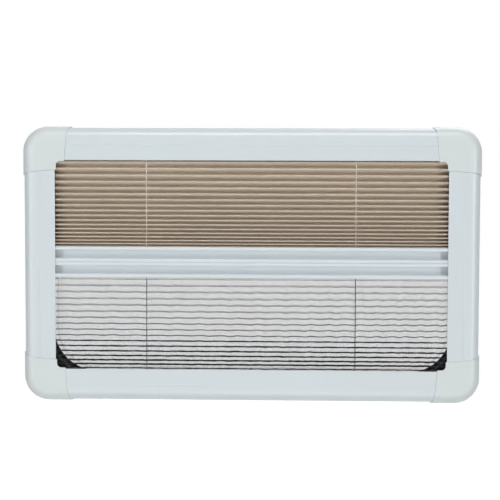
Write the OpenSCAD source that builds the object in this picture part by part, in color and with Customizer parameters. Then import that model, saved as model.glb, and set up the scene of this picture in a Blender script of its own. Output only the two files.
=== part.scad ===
// Caravan window with a pleated blind and a pleated insect screen.
// The origin is in the middle of the outer flange's bottom strip, on the face that lies on
// the outside of the wall. +Z is up, +X is to the right seen from inside the vehicle,
// and the inside of the vehicle is towards -Y.

/* [Wall] */
// Width of the cut-out in the wall
cutout_w = 700; // [620:10:900]
// Height of the cut-out in the wall
cutout_h = 400; // [340:10:560]
// Corner radius of the cut-out
cutout_r = 90; // [70:1:105]
// Thickness of the wall between the outer flange and the trim
wall_t = 26; // [23:1:34]

/* [Outer frame] */
// Overlap of the outer flange on the wall
flange_overlap = 20; // [14:1:26]
// Thickness of the outer flange
flange_t = 4; // [3:0.5:6]
// Wall thickness of the sleeve that lines the cut-out
sleeve_t = 14; // [12:1:16]
// Step of the flange inside the sleeve, which carries the pane
sill_step = 4; // [3:1:8]
// Gap between the sleeve and the cut-out
sleeve_gap = 1; // [0.5:0.5:2]

/* [Pane] */
// Width of the flange left bare around the pane
pane_border = 12; // [8:1:16]
// Thickness of the outer acrylic sheet
pane_outer_t = 3; // [2:0.5:4]
// Thickness of the formed inner acrylic sheet
pane_inner_t = 1.5; // [1:0.5:2]
// Depth of the formed inner sheet behind its rim
pane_dish = 12; // [8:1:16]
// Gap between the formed sheet and the sill
pane_dish_gap = 5; // [4:1:20]
// Thickness of the rubber seal under the pane
seal_t = 2; // [1:0.5:3]
// Width of the rubber seal
seal_w = 20; // [12:1:22]

/* [Trim] */
// Overlap of the trim on the wall at the left and right
trim_overlap_x = 23; // [21:0.5:28]
// Overlap of the trim on the wall at the top and bottom
trim_overlap_z = 24; // [21:0.5:28]
// Width of the trim's face, from its outer edge to the opening
face_w = 52.5; // [50:0.5:58]
// Height of the trim over the wall
trim_d = 22; // [21:0.5:26]
// Thickness of the trim's skin
trim_t = 1.5; // [1.2:0.1:2]
// Radius of the rounded outer edge
nose_r = 17; // [13:0.5:18]
// Distance from the opening at which the face starts to slope
slope_from = 33; // [30:0.5:35]
// Angle of the slope before the rounded edge
slope_a = 8.5; // [4:0.5:12]
// Distance from the opening to the raised line along the face
line_from = 24.5; // [20:0.5:28]
// Width of the round bead that makes the raised line
line_w = 1.8; // [1:0.1:3]
// Height of the raised line
line_h = 0.5; // [0.2:0.1:0.6]

/* [Corner covers] */
// How far a cover stands out past the trim's edges
cover_proud = 2; // [1:0.5:3]
// How far a cover stands out over the trim's face
cover_rise = 0.5; // [0.3:0.1:1]
// Radius of a cover's outer corner
cover_r = 41; // [36:1:46]
// Radius of the opening's corner
cover_inner_r = 7; // [5:0.5:9]
// Reach of a cover past the opening's corner
cover_reach = 15.5; // [13:0.5:20]
// Lean of a cover's end across the face
cover_lean_face = 5; // [0:1:12]
// Lean of a cover's end down the rounded edge
cover_lean_depth = 14; // [0:1:20]
// Gap between a cover's end and the trim
cover_gap = 0.3; // [0.1:0.1:0.5]

/* [Mounting frame] */
// Thickness of the plate that is screwed to the sleeve
plate_t = 2; // [1.5:0.5:3]
// Radius of the fixing screws
screw_r = 1.75; // [1.5:0.25:2.5]
// Radius of the screw heads
screw_head_r = 3.5; // [3:0.25:4]
// Height of the screw heads
screw_head_h = 2.2; // [1.5:0.1:3]
// Length of the screws below their heads
screw_l = 16; // [10:1:20]
// Gap between the sleeve's end and the plate, so that the screws clamp the wall
clamp_gap = 0.5; // [0.3:0.1:1]
// Distance from the opening's edge to the plate's inner edge
plate_from = 4; // [3:0.5:6]
// Gap between the plate's outer edge and the trim's skin
plate_gap = 0.3; // [0.2:0.1:0.5]

/* [Guides] */
// Reach of the guides and channels behind the opening's edge
guide_reach = 10; // [8:1:12]
// Thickness of the guides
guide_t = 2; // [1.5:0.5:3]
// Height of the head and sill channels
channel_h = 9; // [7:0.5:10]
// Distance from the opening's edge to the head and sill channels
channel_from = 3; // [2:0.5:6]
// Thickness of the channels' walls
channel_t = 1.2; // [1:0.1:1.5]

/* [Rails] */
// Height of each slide rail
rail_h = 25; // [22:0.5:28]
// Height of the lips above and below the grip
rail_lip_h = 5.3; // [4:0.1:6]
// Depth of the grip between the lips
grip_d = 10; // [7:0.1:11]
// Thickness of the rails' walls
rail_t = 1.4; // [1.2:0.1:1.8]
// Radius of the rounded lips
lip_r = 0.6; // [0.3:0.1:0.6]
// Running gap of the rails in their guides
run_gap = 0.6; // [0.4:0.1:0.8]
// Length of the plastic caps in the rails' ends
cap_l = 6; // [4:0.5:8]
// Thickness of the caps outside the rails
cap_end = 1.5; // [1:0.5:2]
// Gap between a cap's plug and the rail's walls
plug_gap = 0.1; // [0.05:0.05:0.2]
// Gap between the two rails where they meet
rail_gap = 0.3; // [0.2:0.1:0.5]
// Height of the meeting line of the rails above the bottom of the opening
meet_h = 176.5; // [120:0.5:200]

/* [Blind and screen] */
// Number of flat panels between the blind's folds
blind_panels = 35; // [21:2:47]
// Number of flat panels between the screen's folds
screen_panels = 34; // [20:2:48]
// Share by which the blind's panels tighten towards its rail
blind_tighten = 0.58; // [0:0.02:0.6]
// Share by which the screen's panels tighten towards the sill
screen_tighten = 0.52; // [0:0.02:0.6]
// How late the blind's panels tighten, 1 for evenly
blind_gather = 1; // [1:0.5:3]
// How late the screen's panels tighten, 1 for evenly
screen_gather = 2; // [1:0.5:3]
// Thickness of the blind's fabric
blind_t = 0.4; // [0.3:0.05:0.6]
// Thickness of the screen's fabric
screen_t = 0.4; // [0.3:0.05:0.6]
// Clearance of the pleats in front and behind
pleat_gap = 0.7; // [0.4:0.1:1]
// Distance from the middle to each guide cord
cord_x = 171; // [100:1:240]
// Distance from the front of the folds to the guide cords' axis
cord_from = 4.8; // [4:0.1:6.5]
// Radius of the guide cords
cord_r = 0.7; // [0.5:0.1:1]
// Clearance of the fabric around the cords
cord_gap = 0.6; // [0.4:0.1:1]

/* [Hidden] */
$fn = 96;
// Overshoot of cuts past the faces that they open
cut = 1;
big = 300;

// Middle of the window above the origin
mid_z = cutout_h / 2 + flange_overlap / 2;

// Outer frame
sleeve_w = cutout_w - 2 * sleeve_gap;
sleeve_h = cutout_h - 2 * sleeve_gap;
sleeve_r = cutout_r - sleeve_gap;
bore_w = sleeve_w - 2 * sleeve_t;
bore_h = sleeve_h - 2 * sleeve_t;
bore_r = sleeve_r - sleeve_t;
clear_w = bore_w - 2 * sill_step;
clear_h = bore_h - 2 * sill_step;
clear_r = bore_r - sill_step;
flange_w = cutout_w + 2 * flange_overlap;
flange_h = cutout_h + 2 * flange_overlap;
flange_r = cutout_r + flange_overlap;

// Pane
pane_w = flange_w - 2 * pane_border;
pane_h = flange_h - 2 * pane_border;
pane_r = flange_r - pane_border;
dish_w = clear_w - 2 * pane_dish_gap;
dish_h = clear_h - 2 * pane_dish_gap;
dish_r = clear_r - pane_dish_gap;
seal_inset = 2;
pane_y = flange_t + seal_t;

// Trim and opening
trim_w = cutout_w + 2 * trim_overlap_x;
trim_h = cutout_h + 2 * trim_overlap_z;
open_w = trim_w - 2 * face_w;
open_h = trim_h - 2 * face_w;
open_top = mid_z + open_h / 2;
open_bottom = mid_z - open_h / 2;
wall_y = -wall_t;
face_y = wall_y - trim_d;
plate_y = wall_y - plate_t;
skin_y = face_y + trim_t;
// The slope of a face ends this far inside the rounded edge, so that the two cross
nose_bite = 0.05;
// The covers' underside is level with that of the trim's skin
cover_t = trim_t + cover_rise;
// Distance from the opening's corner to the axis of the covers' outer corner
cover_turn = face_w + cover_proud - cover_r;
// Length that a cover's arm has before its end is cut
cover_arm_l = 3 * cover_reach;

// Guides, between the plate behind and the trim's skin in front
guide_in = open_w / 2 + guide_reach;
channel_in = open_h / 2 + channel_from;
channel_out = channel_in + channel_h;

// Rails
rail_front = skin_y + run_gap;
rail_back = plate_y - run_gap;
rail_half = guide_in - run_gap;
rail_l = 2 * (rail_half - cap_end);
meet_z = open_bottom + meet_h;
blind_rail_z = meet_z + rail_gap / 2;
screen_rail_z = meet_z - rail_gap / 2 - rail_h;
grip_h = rail_h - 2 * rail_lip_h;

// Fabric
fold_front = skin_y + pleat_gap;
fold_back = plate_y - pleat_gap;
blind_top = mid_z + channel_in;
blind_bottom = blind_rail_z + rail_h;
screen_top = screen_rail_z;
screen_bottom = mid_z - channel_in;
fabric_half = guide_in - run_gap;
cord_y = fold_front + cord_from;

// Screws
screw_x = sleeve_w / 2 - sleeve_t / 2;
screw_z = sleeve_h / 2 - sleeve_t / 2;
screw_row = [-0.36, -0.12, 0.12, 0.36];
screw_column = [-0.22, 0.22];
pilot_gap = 0.05;

// A rectangle with round corners about the middle of the window, in the plane of the wall
module round_rect(w, h, r) {
    translate([-w / 2 + r, -h / 2])
        square([w - 2 * r, h]);
    translate([-w / 2, -h / 2 + r])
        square([w, h - 2 * r]);
    for (x = [-1, 1], z = [-1, 1])
        translate([x * (w / 2 - r), z * (h / 2 - r)])
            circle(r);
}

// Stands a flat outline up, from y0 to y1
module upright(y0, y1) {
    translate([0, y1, mid_z])
        rotate([90, 0, 0])
            linear_extrude(y1 - y0)
                children();
}

// Runs a section drawn in Y and Z along X
module along_x(x0, x1) {
    translate([x0, 0, 0])
        rotate([90, 0, 90])
            linear_extrude(x1 - x0)
                children();
}

module ring(y0, y1, w, h, r, in_w, in_h, in_r) {
    difference() {
        upright(y0, y1)
            round_rect(w, h, r);
        upright(y0 - cut, y1 + cut)
            round_rect(in_w, in_h, in_r);
    }
}

module outer_flange() {
    color("#1b1c1d")
        ring(0, flange_t, flange_w, flange_h, flange_r, sleeve_w, sleeve_h, sleeve_r);
}

// The sleeve lines the cut-out, and the sill on its outer end carries the pane
module frame_sleeve() {
    color("#202122") {
        difference() {
            ring(wall_y, 0, sleeve_w, sleeve_h, sleeve_r, bore_w, bore_h, bore_r);
            screw_places()
                cylinder(h = screw_l + plate_t, r = screw_r + pilot_gap);
        }
        ring(0, flange_t, sleeve_w, sleeve_h, sleeve_r, clear_w, clear_h, clear_r);
    }
}

module pane_seal() {
    color("#101010")
        ring(flange_t, flange_t + seal_t,
            pane_w - 2 * seal_inset, pane_h - 2 * seal_inset, pane_r - seal_inset,
            pane_w - 2 * seal_w, pane_h - 2 * seal_w, pane_r - seal_w);
}

module pane_outer_sheet() {
    color("#c8dcdc", 0.35)
        upright(pane_y + pane_inner_t, pane_y + pane_inner_t + pane_outer_t)
            round_rect(pane_w, pane_h, pane_r);
}

// The inner sheet is formed as a shallow tray whose rim is bonded to the outer sheet
module pane_inner_sheet() {
    color("#d0e0e0", 0.35) {
        ring(pane_y, pane_y + pane_inner_t, pane_w, pane_h, pane_r,
            dish_w - 2 * pane_inner_t, dish_h - 2 * pane_inner_t, dish_r - pane_inner_t);
        ring(pane_y - pane_dish, pane_y, dish_w, dish_h, dish_r,
            dish_w - 2 * pane_inner_t, dish_h - 2 * pane_inner_t, dish_r - pane_inner_t);
        upright(pane_y - pane_dish - pane_inner_t, pane_y - pane_dish)
            round_rect(dish_w, dish_h, dish_r);
    }
}

// Puts a child, drawn along +Z, at each fixing screw, pointing into the sleeve
module screw_places() {
    for (z = [-1, 1], share = screw_row)
        translate([share * cutout_w, plate_y, mid_z + z * screw_z])
            rotate([-90, 0, 0])
                children();
    for (x = [-1, 1], share = screw_column)
        translate([x * screw_x, plate_y, mid_z + share * cutout_h])
            rotate([-90, 0, 0])
                children();
}

module fixing_screws() {
    color("#b8babb")
        screw_places() {
            cylinder(h = screw_l, r = screw_r);
            translate([0, 0, -screw_head_h])
                cylinder(h = screw_head_h, r = screw_head_r);
        }
}

// A plate that lies on the inside of the wall, with a rebate over the sleeve's end
module mounting_frame() {
    plate_w = trim_w - 2 * trim_t - 2 * plate_gap;
    plate_h = trim_h - 2 * trim_t - 2 * plate_gap;
    plate_r = cover_r - cover_t - plate_gap;
    color("#3a3b3d")
        difference() {
            ring(plate_y, wall_y, plate_w, plate_h, plate_r,
                open_w + 2 * plate_from, open_h + 2 * plate_from, cover_inner_r);
            upright(wall_y - clamp_gap, wall_y + cut)
                round_rect(cutout_w, cutout_h, cutout_r);
            screw_places()
                translate([0, 0, -cut])
                    cylinder(h = plate_t + 2 * cut, r = screw_r + pilot_gap);
        }
}

// Outline of a face in section: x runs from the opening outwards and y from the wall up.
// A flat runs to slope_from, then a slope to a rounded outer edge that is tangent to both.
module face_outline(inner, outer, foot, top, nose) {
    nose_x = outer - nose;
    tangent_x = nose_x + nose * sin(slope_a);
    tangent_y = top - (tangent_x - slope_from) * tan(slope_a);
    nose_y = tangent_y - nose * cos(slope_a);
    polygon([[inner, foot], [outer, foot], [outer, nose_y],
        [tangent_x - nose_bite * sin(slope_a), tangent_y - nose_bite * cos(slope_a)],
        [slope_from, top], [inner, top]]);
    intersection() {
        translate([nose_x, nose_y])
            circle(nose);
        translate([nose_x, foot])
            square([nose + cut, top - foot]);
    }
}

// Section of a skin over the frame, with a rounded edge along the opening. grow widens it
// past the trim's own edges and rise lifts its face.
module skin_section(grow, rise, thick) {
    top = trim_d + rise;
    outer = face_w + grow;
    nose = nose_r + grow;
    edge_r = thick / 2;
    difference() {
        face_outline(edge_r - grow, outer, 0, top, nose);
        face_outline(-grow - cut, outer - thick, -cut, top - thick, nose - thick);
    }
    translate([edge_r - grow, top - edge_r])
        circle(edge_r);
}

module trim_section() {
    skin_section(0, 0, trim_t);
    translate([line_from + line_w / 2, trim_d + line_h - line_w / 2])
        circle(line_w / 2);
}

// The half-space at a cover's end, for the top right corner: the corner's side of the seam,
// or the trim's side of it
module seam_side(shift, corner_side) {
    pitch = atan(tan(cover_lean_face) * cos(cover_lean_depth));
    translate([open_w / 2 - cover_reach + shift, face_y, open_top])
        rotate([0, -pitch, cover_lean_depth])
            translate([corner_side ? 0 : -big, -big, -big])
                cube([big, 2 * big, 2 * big]);
}

// Swaps X and Z about the top right corner of the opening
module swapped() {
    corner_x = open_w / 2;
    translate([corner_x, 0, open_top])
        rotate([0, -90, 0])
            mirror([0, 0, 1])
                translate([-corner_x, 0, -open_top])
                    children();
}

// A straight length of trim along the top, with its ends cut to meet the corner covers
module trim_along_top() {
    difference() {
        along_x(-open_w / 2, open_w / 2)
            translate([wall_y, open_top])
                rotate(90)
                    trim_section();
        seam_side(-cover_gap, true);
        mirror([1, 0, 0])
            seam_side(-cover_gap, true);
    }
}

module trim_top() {
    color("#d3dadd")
        trim_along_top();
}

module trim_bottom() {
    color("#d3dadd")
        flip_z()
            trim_along_top();
}

module flip_z() {
    translate([0, 0, 2 * mid_z])
        mirror([0, 0, 1])
            children();
}

module trim_along_right() {
    difference() {
        translate([open_w / 2, wall_y, open_bottom])
            mirror([0, 1, 0])
                linear_extrude(open_h)
                    trim_section();
        swapped()
            seam_side(-cover_gap, true);
        flip_z()
            swapped()
                seam_side(-cover_gap, true);
    }
}

module trim_right() {
    color("#d3dadd")
        trim_along_right();
}

module trim_left() {
    color("#d3dadd")
        mirror([1, 0, 0])
            trim_along_right();
}

// One arm of a corner cover, along the top, from past its end to the turn of its corner
module cover_arm() {
    along_x(open_w / 2 - cover_arm_l, open_w / 2 + cover_turn)
        translate([wall_y, open_top])
            rotate(90)
                skin_section(cover_proud, cover_rise, cover_t);
}

// Turns a section about an axis that stands on the wall at the top right corner
module turned(x_and_z) {
    translate([open_w / 2 + x_and_z, wall_y, open_top + x_and_z])
        rotate([90, 0, 0])
            rotate_extrude(angle = 90)
                children();
}

// The cover of the top right corner: two arms, the turned quarter between them, and a
// fillet with the same rounded edge in the corner of the opening
module corner_cover() {
    top = trim_d + cover_rise;
    edge_r = cover_t / 2;
    fillet_reach = cover_inner_r;
    difference() {
        union() {
            turned(cover_turn)
                intersection() {
                    translate([-cover_turn, 0])
                        skin_section(cover_proud, cover_rise, cover_t);
                    square([cover_r + cut, top + cut]);
                }
            cover_arm();
            swapped()
                cover_arm();
            turned(-cover_proud - cover_inner_r) {
                translate([cover_inner_r + edge_r, top - cover_t])
                    square([fillet_reach - edge_r, cover_t]);
                translate([cover_inner_r + edge_r, top - edge_r])
                    circle(edge_r);
            }
        }
        seam_side(0, false);
        swapped()
            seam_side(0, false);
    }
}

module corner_cover_top_right() {
    color("#d5dbdb")
        corner_cover();
}

module corner_cover_top_left() {
    color("#d5dbdb")
        mirror([1, 0, 0])
            corner_cover();
}

module corner_cover_bottom_right() {
    color("#d5dbdb")
        flip_z()
            corner_cover();
}

module corner_cover_bottom_left() {
    color("#d5dbdb")
        flip_z()
            mirror([1, 0, 0])
                corner_cover();
}

// A guide strip for the rails' ends, between the plate and the trim's skin
module guide() {
    translate([guide_in, skin_y, mid_z - channel_out])
        cube([guide_t, plate_y - skin_y, 2 * channel_out]);
}

module guide_left() {
    color("#3a3b3d")
        mirror([1, 0, 0])
            guide();
}

module guide_right() {
    color("#3a3b3d")
        guide();
}

// A box channel between the guides that carries the end of a fabric
module channel(z0) {
    along_x(-guide_in, guide_in)
        difference() {
            translate([skin_y, z0])
                square([plate_y - skin_y, channel_h]);
            translate([skin_y + channel_t, z0 + channel_t])
                square([plate_y - skin_y - 2 * channel_t, channel_h - 2 * channel_t]);
        }
}

module head_channel() {
    color("#c3c7c9")
        channel(mid_z + channel_in);
}

module sill_channel() {
    color("#c3c7c9")
        channel(mid_z - channel_out);
}

// Section of a lip, rounded at the front
module rail_lip() {
    translate([lip_r, 0])
        square([grip_d + rail_t - lip_r, rail_lip_h]);
    translate([0, lip_r])
        square([grip_d, rail_lip_h - 2 * lip_r]);
    for (z = [lip_r, rail_lip_h - lip_r])
        translate([lip_r, z])
            circle(lip_r);
}

// Section of a slide rail: a box behind a grip between two lips
module rail_outline() {
    translate([grip_d, 0])
        square([rail_back - rail_front - grip_d, rail_h]);
    rail_lip();
    translate([0, rail_h - rail_lip_h])
        rail_lip();
}

module rail_cavity() {
    translate([grip_d + rail_t, rail_t])
        square([rail_back - rail_front - grip_d - 2 * rail_t, rail_h - 2 * rail_t]);
    for (z = [0, rail_h - rail_lip_h])
        translate([rail_t, z + rail_t])
            square([grip_d + rail_t, rail_lip_h - 2 * rail_t]);
}

module rail(z0) {
    along_x(-rail_l / 2, rail_l / 2)
        translate([rail_front, z0])
            difference() {
                rail_outline();
                rail_cavity();
            }
}

// A cap closes a rail's end: a plate with the rail's outline, and a plug in the box
module rail_cap(z0) {
    inset = rail_t + plug_gap;
    along_x(rail_l / 2, rail_l / 2 + cap_end)
        translate([rail_front, z0])
            rail_outline();
    along_x(rail_l / 2 - cap_l, rail_l / 2)
        translate([rail_front + grip_d + inset, z0 + inset])
            square([rail_back - rail_front - grip_d - 2 * inset, rail_h - 2 * inset]);
}

module blind_rail() {
    color("#cfd5d8")
        rail(blind_rail_z);
}

module blind_rail_cap_left() {
    color("#444648")
        mirror([1, 0, 0])
            rail_cap(blind_rail_z);
}

module blind_rail_cap_right() {
    color("#444648")
        rail_cap(blind_rail_z);
}

module screen_rail() {
    color("#cfd5d8")
        rail(screen_rail_z);
}

module screen_rail_cap_left() {
    color("#444648")
        mirror([1, 0, 0])
            rail_cap(screen_rail_z);
}

module screen_rail_cap_right() {
    color("#444648")
        rail_cap(screen_rail_z);
}

// Share of a fabric's drop that lies above one of its folds. The panels between the folds
// get lower from the top down by the stated share, the later the higher gather is.
function fold_at(panels, tighten, gather, fold) =
    let (share = fold / panels, power = gather + 1)
    (share - tighten * pow(share, power) / power) / (1 - tighten / power);

// A pleated fabric between two heights. Its top edge is at the front or at the back.
module pleated(z_top, z_bottom, panels, tighten, gather, thick, front_first) {
    half_t = thick / 2;
    side_y = [fold_front + half_t, fold_back - half_t];
    folds = [for (i = [0 : panels])
        [side_y[(i + (front_first ? 0 : 1)) % 2],
            z_top - (z_top - z_bottom) * fold_at(panels, tighten, gather, i)]];
    along_x(-fabric_half, fabric_half)
        polygon(concat(
            [for (fold = folds) [fold[0] - half_t, fold[1]]],
            [for (i = [panels : -1 : 0]) [folds[i][0] + half_t, folds[i][1]]]));
}

module cord_slots() {
    for (x = [-cord_x, cord_x])
        translate([x - cord_r - cord_gap, cord_y - cord_r - cord_gap, 0])
            cube([2 * (cord_r + cord_gap), 2 * (cord_r + cord_gap), 2 * mid_z]);
}

module blind_fabric() {
    color("#a4967f")
        difference() {
            pleated(blind_top, blind_bottom, blind_panels, blind_tighten, blind_gather,
                blind_t, false);
            cord_slots();
        }
}

module screen_fabric() {
    color("#8d9092")
        difference() {
            pleated(screen_top, screen_bottom, screen_panels, screen_tighten, screen_gather,
                screen_t, true);
            cord_slots();
        }
}

module cord(x, z0, z1) {
    translate([x, cord_y, z0])
        cylinder(h = z1 - z0, r = cord_r);
}

module blind_cord_left() {
    color("white")
        cord(-cord_x, blind_bottom, blind_top);
}

module blind_cord_right() {
    color("white")
        cord(cord_x, blind_bottom, blind_top);
}

module screen_cord_left() {
    color("#151515")
        cord(-cord_x, screen_bottom, screen_top);
}

module screen_cord_right() {
    color("#151515")
        cord(cord_x, screen_bottom, screen_top);
}

outer_flange();
frame_sleeve();
pane_seal();
pane_inner_sheet();
pane_outer_sheet();
mounting_frame();
fixing_screws();
trim_top();
trim_bottom();
trim_left();
trim_right();
corner_cover_top_left();
corner_cover_top_right();
corner_cover_bottom_left();
corner_cover_bottom_right();
guide_left();
guide_right();
head_channel();
sill_channel();
blind_fabric();
blind_rail();
blind_rail_cap_left();
blind_rail_cap_right();
blind_cord_left();
blind_cord_right();
screen_fabric();
screen_rail();
screen_rail_cap_left();
screen_rail_cap_right();
screen_cord_left();
screen_cord_right();
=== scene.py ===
"""Looks of the caravan window: camera, light, finishes, and the pleated blind and screen.

Lengths are in metres, in the frame of the part: the origin is in the middle of the outer
flange's bottom strip on the wall, +Z is up, +X is to the right seen from inside the
vehicle, and the inside of the vehicle is towards -Y.
"""

import math
import random

import bmesh
import bpy
from mathutils import Matrix, Vector


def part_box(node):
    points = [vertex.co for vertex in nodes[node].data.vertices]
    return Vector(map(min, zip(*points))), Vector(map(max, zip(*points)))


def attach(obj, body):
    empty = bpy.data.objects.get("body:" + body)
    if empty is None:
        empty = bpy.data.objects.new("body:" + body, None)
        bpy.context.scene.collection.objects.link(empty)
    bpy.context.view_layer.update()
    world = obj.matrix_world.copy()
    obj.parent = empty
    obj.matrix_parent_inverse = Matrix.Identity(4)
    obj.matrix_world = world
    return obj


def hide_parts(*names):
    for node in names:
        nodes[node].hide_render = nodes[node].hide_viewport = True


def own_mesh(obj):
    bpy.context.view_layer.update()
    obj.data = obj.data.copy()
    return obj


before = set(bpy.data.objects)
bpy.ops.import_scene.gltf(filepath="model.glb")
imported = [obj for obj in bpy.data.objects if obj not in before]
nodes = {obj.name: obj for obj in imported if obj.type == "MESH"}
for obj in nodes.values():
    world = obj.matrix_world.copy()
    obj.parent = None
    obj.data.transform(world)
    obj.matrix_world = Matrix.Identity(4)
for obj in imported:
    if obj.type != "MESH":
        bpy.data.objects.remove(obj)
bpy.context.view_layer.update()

MM = 0.001
WHITE = (1, 1, 1, 1)


# Helpers

def solid_box(node):
    """Lowest and highest corner of a solid, to the micrometre."""
    return [[round(value, 6) for value in corner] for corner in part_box(node)]


def between(ends, share):
    """The value at a share of the way from the first to the last of two values."""
    first, last = ends
    return first + (last - first) * share


def new_object(name, data):
    obj = bpy.data.objects.new(name, data)
    bpy.context.scene.collection.objects.link(obj)
    return obj


def add_node(tree, kind, inputs=None, **settings):
    """Adds a shader node. An input is a value, or another node's output to link."""
    made = tree.nodes.new(kind)
    for key, value in settings.items():
        setattr(made, key, value)
    for key, value in (inputs or {}).items():
        if isinstance(value, bpy.types.NodeSocket):
            tree.links.new(value, made.inputs[key])
        else:
            made.inputs[key].default_value = value
    return made


# Camera

# It stands in front, a little to the right and above, and looks slightly down
CAMERA_PLACE = Vector((0.0943, -2.52395, 0.41457))
CAMERA_AIM = Vector((-0.0017, -0.034, 0.2350))
CAMERA_ROLL = math.radians(0.14)
CAMERA_LENS = 109.77
CAMERA_SENSOR = 36.0


def make_camera():
    camera = new_object("camera", bpy.data.cameras.new("camera"))
    camera.data.lens = CAMERA_LENS
    camera.data.sensor_width = CAMERA_SENSOR
    camera.location = CAMERA_PLACE
    look = (CAMERA_AIM - CAMERA_PLACE).to_track_quat("-Z", "Y")
    roll = Matrix.Rotation(CAMERA_ROLL, 4, "Z")
    camera.rotation_euler = (look.to_matrix().to_4x4() @ roll).to_euler()
    bpy.context.scene.camera = camera


# Light

# The lamps face the middle of the window
WINDOW_MIDDLE = Vector((0, -0.03, 0.21))
AMBIENT = 0.05

FLOOR_Z = -0.95
FLOOR_SIZE = 12.0
FLOOR_COLOUR = (0.8, 0.8, 0.8, 1)
FLOOR_ROUGHNESS = 0.9
FLOOR_SPECULAR = 0.1

# Azimuth and elevation in degrees, distance, width and height in metres, power in watts.
# Azimuth 0 is straight in front of the window, and it is positive to +X.
LAMPS = {
    "right_box": (46, 2, 5.0, 0.26, 2.3, 76),
    "left_box": (-46, 4, 3.4, 0.75, 1.9, 33),
    "front_box": (0, 56, 3.0, 1.6, 0.4, 43),
    "under_box": (0, -35, 1.4, 1.2, 0.3, 2.6),
    "back_box": (150, 50, 4.0, 2.0, 2.0, 60),
}


def make_lamp(name, azimuth, elevation, distance, width, height, power):
    """A soft box that faces the window."""
    lamp = new_object(name, bpy.data.lights.new(name, "AREA"))
    lamp.data.shape = "RECTANGLE"
    lamp.data.size = width
    lamp.data.size_y = height
    lamp.data.energy = power
    turn = math.radians(azimuth)
    rise = math.radians(elevation)
    away = Vector((math.sin(turn) * math.cos(rise), -math.cos(turn) * math.cos(rise), math.sin(rise)))
    lamp.location = WINDOW_MIDDLE + distance * away
    lamp.rotation_euler = away.to_track_quat("Z", "Y").to_euler()


def seen_directly(tree):
    """1 for a ray from the camera, or by way of a mirror or glass, and 0 for other rays."""
    path = tree.nodes.new("ShaderNodeLightPath")
    total = path.outputs["Is Camera Ray"]
    for name in ("Is Glossy Ray", "Is Transmission Ray"):
        larger = add_node(tree, "ShaderNodeMath", {0: total, 1: path.outputs[name]}, operation="MAXIMUM")
        total = larger.outputs[0]
    return total


def make_world():
    """White where the camera sees it, and a weak soft light for everything else."""
    world = bpy.data.worlds.new("studio")
    bpy.context.scene.world = world
    world.use_nodes = True
    tree = world.node_tree
    soft = tree.nodes["Background"]
    soft.inputs["Color"].default_value = WHITE
    soft.inputs["Strength"].default_value = AMBIENT
    white = add_node(tree, "ShaderNodeBackground", {"Color": WHITE, "Strength": 1.0})
    mix = add_node(tree, "ShaderNodeMixShader",
                   {"Fac": seen_directly(tree), 1: soft.outputs[0], 2: white.outputs[0]})
    tree.links.new(mix.outputs[0], tree.nodes["World Output"].inputs["Surface"])


def floor_material():
    """Pale and matt, with the shadow of the object, and white where it is seen."""
    material = bpy.data.materials.new("floor")
    material.use_nodes = True
    tree = material.node_tree
    matt = tree.nodes["Principled BSDF"]
    matt.inputs["Base Color"].default_value = FLOOR_COLOUR
    matt.inputs["Roughness"].default_value = FLOOR_ROUGHNESS
    matt.inputs["Specular IOR Level"].default_value = FLOOR_SPECULAR
    glow = add_node(tree, "ShaderNodeEmission", {"Strength": seen_directly(tree)})
    both = add_node(tree, "ShaderNodeAddShader", {0: matt.outputs[0], 1: glow.outputs[0]})
    tree.links.new(both.outputs[0], tree.nodes["Material Output"].inputs["Surface"])
    return material


def make_floor():
    half = FLOOR_SIZE / 2
    corners = [(-half, -half), (half, -half), (half, half), (-half, half)]
    mesh = bpy.data.meshes.new("floor")
    mesh.from_pydata([(x, y, FLOOR_Z) for x, y in corners], [], [(0, 1, 2, 3)])
    mesh.materials.append(floor_material())
    new_object("floor", mesh)


# Finishes

# The middle range of a noise texture, which holds most of its values
NOISE_RANGE = (0.3, 0.7)

# Sockets of a mix node that mixes colours
MIX_SHARE = 0
MIX_FIRST = 6
MIX_SECOND = 7
MIX_RESULT = 2


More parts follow.
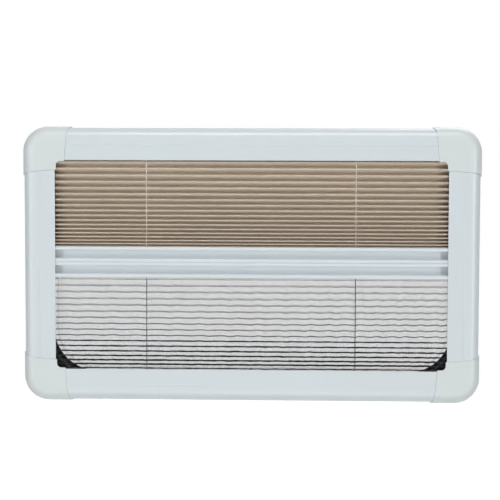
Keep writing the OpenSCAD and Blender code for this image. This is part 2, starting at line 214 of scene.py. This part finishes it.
class Finish:
    """A material whose colour, roughness and bump are built up from textures."""

    def __init__(self, name, roughness, **sockets):
        self.material = bpy.data.materials.new(name)
        self.material.use_nodes = True
        self.tree = self.material.node_tree
        self.shader = self.tree.nodes["Principled BSDF"]
        self.shader.inputs["Roughness"].default_value = roughness
        for key, value in sockets.items():
            self.shader.inputs[key.replace("_", " ")].default_value = value
        coordinates = self.tree.nodes.new("ShaderNodeTexCoord")
        self.place = coordinates.outputs["Object"]
        self.uv = coordinates.outputs["UV"]

    def noise(self, size, detail=3.0, stretch=None):
        """Noise from 0 to 1 whose blots are about one size across, in metres."""
        place = self.place
        if stretch:
            mapping = add_node(self.tree, "ShaderNodeMapping", {"Vector": place, "Scale": stretch})
            place = mapping.outputs[0]
        texture = add_node(self.tree, "ShaderNodeTexNoise",
                           {"Vector": place, "Scale": 1 / size, "Detail": detail})
        return texture.outputs["Fac"]

    def colour(self, base, spread, size, stretch=None):
        """A base colour that wanders by a small share of itself."""
        share = self.noise(size, stretch=stretch)
        darker = [c * (1 - spread) for c in base]
        paler = [min(1, c * (1 + spread)) for c in base]
        mix = add_node(self.tree, "ShaderNodeMix",
                       {MIX_SHARE: share, MIX_FIRST: (*darker, 1), MIX_SECOND: (*paler, 1)},
                       data_type="RGBA")
        self.tree.links.new(mix.outputs[MIX_RESULT], self.shader.inputs["Base Color"])

    def roughness(self, low, high, size, stretch=None):
        """A roughness that wanders between two values."""
        share = self.noise(size, stretch=stretch)
        spread = add_node(self.tree, "ShaderNodeMapRange",
                          {"Value": share, "From Min": NOISE_RANGE[0], "From Max": NOISE_RANGE[1],
                           "To Min": low, "To Max": high})
        self.tree.links.new(spread.outputs[0], self.shader.inputs["Roughness"])

    def bump(self, height, depth, strength=1.0):
        """Adds a bump on top of those before it. Depth is in metres."""
        made = add_node(self.tree, "ShaderNodeBump",
                        {"Height": height, "Distance": depth, "Strength": strength})
        normal = self.shader.inputs["Normal"]
        if normal.is_linked:
            self.tree.links.new(normal.links[0].from_socket, made.inputs["Normal"])
        self.tree.links.new(made.outputs[0], normal)


# Colour, lowest and highest roughness, size and depth of the grain, and specular level
PAINTED = {
    "trim_paint": ((0.640, 0.700, 0.730), 0.30, 0.38, 0.7 * MM, 0.010 * MM, 0.5),
    "cover_plastic": ((0.650, 0.703, 0.705), 0.36, 0.44, 0.5 * MM, 0.006 * MM, 0.5),
    "rail_paint": ((0.685, 0.738, 0.770), 0.28, 0.36, 0.7 * MM, 0.008 * MM, 0.5),
    "inner_plastic": ((0.035, 0.036, 0.038), 0.42, 0.50, 0.8 * MM, 0.020 * MM, 0.2),
    "cap_plastic": ((0.050, 0.052, 0.055), 0.42, 0.50, 0.8 * MM, 0.020 * MM, 0.2),
    "frame_black": ((0.010, 0.010, 0.011), 0.38, 0.50, 0.9 * MM, 0.050 * MM, 0.1),
    "seal_rubber": ((0.012, 0.012, 0.012), 0.60, 0.70, 1.2 * MM, 0.050 * MM, 0.5),
}
PAINT_SPREAD = 0.012
PAINT_BLOT = 60 * MM
PAINT_SHINE_BLOT = 18 * MM
RIPPLE_SIZE = 9 * MM
RIPPLE_STRENGTH = 0.5

# How many times as deep the ripple is as the grain
RIPPLE_TIMES = 2


def painted(name, base, low, high, grain, depth, specular):
    """Paint or moulded plastic: a fine grain over a shallow ripple."""
    finish = Finish(name, low, Specular_IOR_Level=specular)
    finish.colour(base, PAINT_SPREAD, PAINT_BLOT)
    finish.roughness(low, high, PAINT_SHINE_BLOT)
    finish.bump(finish.noise(grain, detail=2.0), depth)
    finish.bump(finish.noise(RIPPLE_SIZE, detail=1.0), RIPPLE_TIMES * depth, RIPPLE_STRENGTH)
    return finish.material


# Colour, lowest and highest roughness, and how the brush marks are drawn out
BRUSHED = {
    "channel_metal": ((0.62, 0.63, 0.64), 0.30, 0.45, (0.02, 1, 1)),
    "screw_steel": ((0.66, 0.67, 0.66), 0.25, 0.35, (1, 1, 1)),
}
BRUSH_SPREAD = 0.05
BRUSH_SIZE = 1 * MM
BRUSH_DEPTH = 0.01 * MM


def brushed(name, base, low, high, stretch):
    """Bare metal with fine marks."""
    finish = Finish(name, low, Metallic=1.0)
    finish.colour(base, BRUSH_SPREAD, BRUSH_SIZE, stretch)
    finish.roughness(low, high, BRUSH_SIZE, stretch)
    finish.bump(finish.noise(BRUSH_SIZE, stretch=stretch), BRUSH_DEPTH)
    return finish.material


CLOTH_COLOUR = (0.660, 0.574, 0.474)
CLOTH_ROUGHNESS = 0.85
CLOTH_SHEEN = 0.1
CLOTH_SHEEN_ROUGHNESS = 0.5
CLOTH_SPREAD = 0.035
CLOTH_BLOT = 22 * MM
CLOTH_STRETCH = (0.3, 1, 1)
CLOTH_THREAD = 0.45 * MM
CLOTH_DEPTH = 0.05 * MM
CLOTH_FLUFF = 3 * MM
CLOTH_FLUFF_STRENGTH = 0.3

# A wave texture of scale 1 repeats after this length
WAVE_REPEAT = 0.314


def woven():
    """Cloth whose threads run along and across it, by its own UV map, in metres."""
    finish = Finish("blind_cloth", CLOTH_ROUGHNESS,
                    Sheen_Weight=CLOTH_SHEEN, Sheen_Roughness=CLOTH_SHEEN_ROUGHNESS)
    finish.colour(CLOTH_COLOUR, CLOTH_SPREAD, CLOTH_BLOT, CLOTH_STRETCH)
    along, across = [
        add_node(finish.tree, "ShaderNodeTexWave",
                 {"Vector": finish.uv, "Scale": WAVE_REPEAT / CLOTH_THREAD},
                 bands_direction=direction).outputs["Fac"]
        for direction in ("X", "Y")
    ]
    crossed = add_node(finish.tree, "ShaderNodeMath", {0: along, 1: across}, operation="MULTIPLY")
    finish.bump(crossed.outputs[0], CLOTH_DEPTH)
    finish.bump(finish.noise(CLOTH_FLUFF), CLOTH_DEPTH, CLOTH_FLUFF_STRENGTH)
    return finish.material


# Colour, roughness, spread and blot of the colour, size and depth of the fibres, and
# specular level
FIBROUS = {
    "screen_mesh": ((0.030, 0.030, 0.032), 0.6, 0.25, 8 * MM, 0.2 * MM, 0.02 * MM, 0.1),
    "white_cord": ((0.92, 0.90, 0.86), 0.7, 0.08, 4 * MM, 0.3 * MM, 0.05 * MM, 0.5),
    "black_cord": ((0.012, 0.012, 0.013), 0.7, 0.08, 4 * MM, 0.3 * MM, 0.05 * MM, 0.5),
}


def fibrous(name, base, roughness, spread, blot, fibre, depth, specular):
    """Thread or cord, rough with its own fibres."""
    finish = Finish(name, roughness, Specular_IOR_Level=specular)
    finish.colour(base, spread, blot)
    finish.bump(finish.noise(fibre), depth)
    return finish.material


ACRYLIC_COLOUR = (0.966, 0.970, 0.972)
ACRYLIC_ROUGHNESS = 0.01
ACRYLIC_IOR = 1.49
ACRYLIC_SPREAD = 0.01
ACRYLIC_BLOT = 200 * MM


def clear_acrylic():
    finish = Finish("acrylic", ACRYLIC_ROUGHNESS, IOR=ACRYLIC_IOR, Transmission_Weight=1.0)
    finish.colour(ACRYLIC_COLOUR, ACRYLIC_SPREAD, ACRYLIC_BLOT)
    return finish.material


def make_finishes():
    """The material of each slot, by its name."""
    finishes = {name: painted(name, *values) for name, values in PAINTED.items()}
    finishes |= {name: brushed(name, *values) for name, values in BRUSHED.items()}
    finishes |= {name: fibrous(name, *values) for name, values in FIBROUS.items()}
    finishes["blind_cloth"] = woven()
    finishes["acrylic"] = clear_acrylic()
    return finishes


# The two sheets of the pane touch, and clear sheets need a hair of air between them
PANE_AIR = 0.02 * MM


def dress_nodes(finishes):
    """Gives each solid of the part the finish of its own slot."""
    for solid in nodes.values():
        for slot in solid.material_slots:
            slot.material = finishes[slot.material.name.split(".")[0]]
    air = nodes["pane_inner_sheet"].modifiers.new("air", "DISPLACE")
    air.strength = -PANE_AIR
    air.mid_level = 0


# Pieces that stand for solids

def dress_piece(piece, slot, node, finishes):
    """Gives a piece its finish, and the place on the frame of the solid it stands for."""
    piece.data.materials.append(finishes[slot])
    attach(piece, "frame")
    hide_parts(node)


def squash_with(piece):
    """Gives a piece a mesh of its own."""
    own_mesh(piece)


# Pleated fabric

cloth_low, cloth_high = solid_box("blind_fabric")
net_low, net_high = solid_box("screen_fabric")
cord_low, cord_high = solid_box("blind_cord_right")

FOLD_FRONT = cloth_low[1]
FOLD_BACK = cloth_high[1]
FABRIC_HALF = cloth_high[0]
FABRIC_T = 0.35 * MM
CORD_X = (cord_low[0] + cord_high[0]) / 2
CORD_Y = (cord_low[1] + cord_high[1]) / 2
CORD_R = (cord_high[0] - cord_low[0]) / 2

# Half the width of the slots that the fabrics leave for the cords
CORD_SLOT = 1.3 * MM


def fold_heights(top, bottom, panels, tighten, gather):
    """Heights of a fabric's folds. The panels get lower downwards, by the share tighten in
    all, and the later the higher gather is."""
    power = gather + 1
    heights = []
    for fold in range(panels + 1):
        share = fold / panels
        above = (share - tighten * share ** power / power) / (1 - tighten / power)
        heights.append(top - (top - bottom) * above)
    return heights


def columns(step):
    """Places across a fabric, closer at the cords, so that a slot can be left there."""
    marks = [-FABRIC_HALF, -CORD_X - CORD_SLOT, -CORD_X + CORD_SLOT,
             CORD_X - CORD_SLOT, CORD_X + CORD_SLOT, FABRIC_HALF]
    places = []
    for start, end in zip(marks, marks[1:]):
        count = max(1, round((end - start) / step))
        places += [start + (end - start) * i / count for i in range(count)]
    return places + [FABRIC_HALF]


def at_cord(x):
    return abs(abs(x) - CORD_X) < CORD_SLOT


# Blind

BLIND_TOP = cloth_high[2]
BLIND_BOTTOM = cloth_low[2]
BLIND_PANELS = 35
BLIND_TIGHTEN = 0.58
BLIND_GATHER = 1
BLIND_COLUMN = 14 * MM

# The back folds hang down by this share of the panel below them
BLIND_SAG = 0.35

# Each fold is an arc round its own axis
BLIND_FOLD_R = 0.3 * MM
ARC_STEPS = 5


def blind_heights():
    """Heights of the folds. The even ones are at the back."""
    heights = fold_heights(BLIND_TOP, BLIND_BOTTOM, BLIND_PANELS, BLIND_TIGHTEN, BLIND_GATHER)
    for back in range(2, BLIND_PANELS, 2):
        heights[back] -= BLIND_SAG * (heights[back] - heights[back + 1])
    return heights


def leaving_side(axis, following):
    """Direction from a fold's axis to where the cloth leaves it for the following fold. The
    vectors lie in the section: their x is along the window's depth, and their y is up."""
    gap = following - axis
    along = gap.normalized()
    across = Vector((along.y, -along.x)) if gap.x > 0 else Vector((-along.y, along.x))
    lean = math.asin(2 * BLIND_FOLD_R / gap.length)
    return across * math.cos(lean) + along * math.sin(lean)


def past_cords(start, end):
    """The two points between which a straight panel runs past the cords."""
    marks = sorted((CORD_Y - CORD_SLOT, CORD_Y + CORD_SLOT), reverse=end[0] < start[0])
    points = []
    for y, runs_past in zip(marks, (True, False)):
        share = (y - start[0]) / (end[0] - start[0])
        points.append((y, between((start[1], end[1]), share), runs_past))
    return points


def blind_section(heights):
    """Section of the cloth, which runs round the axis of each fold in turn, as points
    (y, z, runs past the cords from here to the next point)."""
    inset = BLIND_FOLD_R + FABRIC_T / 2
    sides = (FOLD_BACK - inset, FOLD_FRONT + inset)
    axes = [Vector((sides[i % 2], z)) for i, z in enumerate(heights)]
    axes[0].y -= inset
    axes[-1].y += inset
    leaving = [leaving_side(axis, following) for axis, following in zip(axes, axes[1:])]
    points = []
    for i, axis in enumerate(axes):
        outward = math.pi if i % 2 else 0.0
        turn = 1 if i % 2 else -1
        level = Vector((math.cos(outward), math.sin(outward)))
        arrives = -leaving[i - 1] if i > 0 else level
        leaves = leaving[i] if i < len(leaving) else level
        ends = [math.remainder(turn * (math.atan2(side.y, side.x) - outward), 2 * math.pi)
                for side in (arrives, leaves)]
        for step in range(ARC_STEPS + 1):
            angle = outward + turn * between(ends, step / ARC_STEPS)
            y = axis.x + BLIND_FOLD_R * math.cos(angle)
            z = axis.y + BLIND_FOLD_R * math.sin(angle)
            points.append((y, z, False))
        if i < len(leaving):
            points += past_cords(points[-1], axes[i + 1] - leaves * BLIND_FOLD_R)
    return points


def blind_mesh(section):
    """The cloth's faces, open where it runs past a cord, and the length of its section."""
    across = columns(BLIND_COLUMN)
    shape = bmesh.new()
    uv = shape.loops.layers.uv.new("cloth")
    length = 0.0
    rows = []
    for i, (y, z, runs_past) in enumerate(section):
        if i > 0:
            length += math.dist(section[i][:2], section[i - 1][:2])
        rows.append((length, runs_past, [shape.verts.new((x, y, z)) for x in across]))
    for (v0, runs_past, upper), (v1, _, lower) in zip(rows, rows[1:]):
        for i, (x0, x1) in enumerate(zip(across, across[1:])):
            if runs_past and at_cord((x0 + x1) / 2):
                continue
            face = shape.faces.new((upper[i], upper[i + 1], lower[i + 1], lower[i]))
            face.smooth = True
            for loop, place in zip(face.loops, ((x0, v0), (x1, v0), (x1, v1), (x0, v1))):
                loop[uv].uv = place
    bmesh.ops.recalc_face_normals(shape, faces=shape.faces)
    mesh = bpy.data.meshes.new("blind_cloth")
    shape.to_mesh(mesh)
    shape.free()
    return mesh, length


def thicken(piece, thickness):
    """Gives a piece of cloth its thickness, half of it on each side."""
    solidify = piece.modifiers.new("thickness", "SOLIDIFY")
    solidify.thickness = thickness
    solidify.offset = 0
    bpy.context.view_layer.update()
    whole = piece.evaluated_get(bpy.context.evaluated_depsgraph_get())
    piece.data = bpy.data.meshes.new_from_object(whole)
    piece.modifiers.clear()


def make_blind(finishes):
    mesh, length = blind_mesh(blind_section(blind_heights()))
    blind = new_object("blind_cloth", mesh)
    thicken(blind, FABRIC_T)
    dress_piece(blind, "blind_cloth", "blind_fabric", finishes)
    squash_with(blind)


# Insect screen

SCREEN_TOP = net_high[2]
SCREEN_BOTTOM = net_low[2]
SCREEN_PANELS = 34
SCREEN_TIGHTEN = 0.52
SCREEN_GATHER = 2
SCREEN_COLUMN = 5 * MM

# Each fold moves by a share of the panel below it, which is larger in the sagging folds
SAG_FROM = 20
SAG_ABOVE = 0.12
SAG_BELOW = 0.34

# Warp threads run down the screen, with a point at each of these shares of a panel
WARP_PITCH = 1.8 * MM
WARP_W = 0.265 * MM
WARP_SHARES = (0.0, 0.25, 0.75)

# Weft threads run across the screen
WEFT_PITCH = 1.8 * MM
WEFT_W = 0.12 * MM

# Widths of the dark line at a fold, and the share by which it strays from them
CREASE_FRONT = 0.25 * MM
CREASE_BACK = 0.55 * MM
CREASE_SAGGING = 1.6 * MM
CREASE_UNEVEN = 0.4
CREASE_SEED = 11

# Each fold waves up and down across the window. Its full size, WAVE_SIZE, is times a chance
# share from WAVE_LEAST up, times WAVE_SAGGING in the sagging folds, and times WAVE_EDGES at
# the left and the right edge. It grows from nothing at the top, over WAVE_ONSET of the folds.
WAVE_SIZE = 1.9 * MM
WAVE_LEAST = 0.8
WAVE_SAGGING = 0.25
WAVE_EDGES = (0.4, 0.9)
WAVE_ONSET = 1 / 6

# Each wave adds up a long, a short and a slow one. The long one gets shorter from the left
# edge to the right one, the short one turns SHORT_TURNS times as fast, and the slow one turns
# by a radian over SLOW_RADIAN.
LONG_SHARE = 0.5
LONG_LENGTHS = (36 * MM, 26 * MM)
SHORT_SHARE = 0.22
SHORT_TURNS = 1.7
SHORT_PHASES = 3
SLOW_SHARE = 0.25
SLOW_RADIAN = 97 * MM
SLOW_PHASES = 2

# How far a wave's phase may stray from that of the fold above, and its middle from its fold
PHASE_STEP = 0.25
WAVE_OFFSET = 0.1
WAVE_SEED = 7


def screen_folds():
    """Places (y, z) of the folds. The lower pleats rest on each other: their front folds
    hang down and their back folds stand up, so that every other panel lies nearly level."""
    heights = fold_heights(SCREEN_TOP, SCREEN_BOTTOM, SCREEN_PANELS, SCREEN_TIGHTEN, SCREEN_GATHER)
    sides = (FOLD_FRONT + WARP_W, FOLD_BACK - WARP_W)
    folds = []
    for i, z in enumerate(heights):
        if 0 < i < SCREEN_PANELS - 1:
            sag = (SAG_BELOW if i >= SAG_FROM else SAG_ABOVE) * (z - heights[i + 1])
            z += sag if i % 2 else -sag
        folds.append((sides[i % 2], z))
    return folds


def screen_waves():
    """Each fold's own gentle wave across the window, like those of its neighbours: its size,
    phase and offset."""
    chance = random.Random(WAVE_SEED)
    waves = []
    phase = 0.0
    for fold in range(SCREEN_PANELS + 1):
        phase += chance.uniform(-PHASE_STEP, PHASE_STEP)
        size = WAVE_SIZE * min(1, fold / SCREEN_PANELS / WAVE_ONSET)
        if fold >= SAG_FROM:
            size *= WAVE_SAGGING
        size *= chance.uniform(WAVE_LEAST, 1)
        waves.append((size, phase, chance.uniform(-WAVE_OFFSET, WAVE_OFFSET)))
    return waves


def wave_height(wave, x):
    """How far a wave stands above its fold at a place across the window."""
    size, phase, offset = wave
    share = (x + FABRIC_HALF) / (2 * FABRIC_HALF)
    turn = 2 * math.pi * x / between(LONG_LENGTHS, share)
    long = LONG_SHARE * math.sin(turn + phase)
    short = SHORT_SHARE * math.sin(SHORT_TURNS * turn + SHORT_PHASES * phase)
    slow = SLOW_SHARE * math.sin(x / SLOW_RADIAN + SLOW_PHASES * phase)
    return size * between(WAVE_EDGES, share) * (long + short + slow + offset)


class Net:
    """The threads of the pleated screen, as flat strips in one mesh."""

    def __init__(self):
        self.folds = screen_folds()
        self.waves = screen_waves()
        self.chance = random.Random(CREASE_SEED)
        self.across = columns(SCREEN_COLUMN)
        self.points = []
        self.faces = []

    def place(self, x, panel, share):
        """A point of a panel: share is 0 at its upper fold and 1 at its lower fold."""
        (y0, z0), (y1, z1) = self.folds[panel], self.folds[panel + 1]
        z0 += wave_height(self.waves[panel], x)
        z1 += wave_height(self.waves[panel + 1], x)
        return Vector((x, between((y0, y1), share), between((z0, z1), share)))

    def strip(self, first, second):
        """A strip of faces between two rows of points."""
        start = len(self.points)
        count = len(first)
        self.points += first + second
        for i in range(start, start + count - 1):
            self.faces.append((i, i + 1, i + count + 1, i + count))

    def weft(self, panel, share, width, uneven=0.0):
        """A thread across a panel, open where it meets a cord."""
        pieces = [[]]
        for i, x in enumerate(self.across):
            here = self.place(x, panel, share)
            pieces[-1].append(here)
            near_cord = abs(here.y - CORD_Y) < CORD_SLOT
            if near_cord and x < FABRIC_HALF and at_cord((x + self.across[i + 1]) / 2):
                pieces.append([])
        for piece in pieces:
            halves = [Vector((0, 0, width / 2 * (1 + self.chance.uniform(-uneven, uneven))))
                      for _ in piece]
            self.strip([p + half for p, half in zip(piece, halves)],
                       [p - half for p, half in zip(piece, halves)])

    def warp(self, x):
        """A thread down the screen, over all its folds."""
        path = [self.place(x, panel, share) for panel in range(SCREEN_PANELS) for share in WARP_SHARES]
        path.append(self.place(x, SCREEN_PANELS - 1, 1.0))
        half = Vector((WARP_W / 2, 0, 0))
        self.strip([p - half for p in path], [p + half for p in path])


def crease_width(fold):
    """Width of the dark line at a fold, where the threads lie close together."""
    if fold >= SAG_FROM:
        return CREASE_SAGGING
    return CREASE_BACK if fold % 2 else CREASE_FRONT


def lay_wefts(net):
    """Lays all threads across the screen, and returns its length along the folds."""
    length = 0.0
    next_weft = WEFT_PITCH / 2
    for panel in range(SCREEN_PANELS):
        reach = math.dist(net.folds[panel], net.folds[panel + 1])
        while next_weft < length + reach:
            net.weft(panel, (next_weft - length) / reach, WEFT_W)
            next_weft += WEFT_PITCH
        length += reach
        net.weft(panel, 1.0, crease_width(panel + 1), CREASE_UNEVEN)
    return length


def lay_warps(net):
    """Lays all threads down the screen, evenly, with each cord between two of them."""
    nearest = CORD_X + WARP_PITCH / 2
    edge = FABRIC_HALF - WARP_W / 2
    left_ones = math.floor((edge + nearest) / WARP_PITCH)
    right_ones = math.floor((edge - nearest) / WARP_PITCH)
    for i in range(-left_ones, right_ones + 1):
        x = nearest + i * WARP_PITCH
        if abs(abs(x) - CORD_X) > CORD_R + WARP_W / 2:
            net.warp(x)


def make_screen(finishes):
    net = Net()
    length = lay_wefts(net)
    lay_warps(net)
    mesh = bpy.data.meshes.new("screen_mesh")
    mesh.from_pydata(net.points, [], net.faces)
    screen = new_object("screen_mesh", mesh)
    dress_piece(screen, "screen_mesh", "screen_fabric", finishes)
    squash_with(screen)


# Cords

CORD_STRANDS = 3
CORD_LAY = 4 * MM
CORD_RING = 0.5 * MM
CORD_SIDES = 12

# Half the depth of the grooves between the strands, as a share of the cord's radius
CORD_RELIEF = 0.14


def cord_mesh(name, x, low, high):
    """Twisted strands, as rings of points from a low to a high place, closed at the ends."""
    count = round((high - low) / CORD_RING)
    points = []
    for ring in range(count + 1):
        z = low + (high - low) * ring / count
        twist = 2 * math.pi * z / CORD_LAY
        for side in range(CORD_SIDES):
            angle = 2 * math.pi * side / CORD_SIDES
            strand = math.cos(CORD_STRANDS * (angle - twist))
            radius = CORD_R * (1 - CORD_RELIEF + CORD_RELIEF * strand)
            points.append((x + radius * math.cos(angle), CORD_Y + radius * math.sin(angle), z))
    faces = []
    for ring in range(count):
        for side in range(CORD_SIDES):
            here = ring * CORD_SIDES + side
            beside = ring * CORD_SIDES + (side + 1) % CORD_SIDES
            faces.append((here, beside, beside + CORD_SIDES, here + CORD_SIDES))
    faces.append(tuple(reversed(range(CORD_SIDES))))
    faces.append(tuple(range(count * CORD_SIDES, (count + 1) * CORD_SIDES)))
    mesh = bpy.data.meshes.new(name)
    mesh.from_pydata(points, [], faces)
    mesh.polygons.foreach_set("use_smooth", [True] * len(faces))
    return mesh


def make_cord(fabric, side, x, low, high, slot, finishes):
    """A guide cord of the blind or the screen, between its channel and its rail."""
    name = f"{fabric}_guide_{side}"
    cord = new_object(name, cord_mesh(name, x, low, high))
    dress_piece(cord, slot, f"{fabric}_cord_{side}", finishes)
    squash_with(cord)


def make_cords(finishes):
    for side, x in (("left", -CORD_X), ("right", CORD_X)):
        make_cord("blind", side, x, BLIND_BOTTOM, BLIND_TOP, "white_cord", finishes)
        make_cord("screen", side, x, SCREEN_BOTTOM, SCREEN_TOP, "black_cord", finishes)


make_camera()
make_world()
make_floor()
for lamp_name, lamp_values in LAMPS.items():
    make_lamp(lamp_name, *lamp_values)
finishes = make_finishes()
dress_nodes(finishes)
make_blind(finishes)
make_screen(finishes)
make_cords(finishes)

bpy.context.scene.view_settings.view_transform = "Standard"
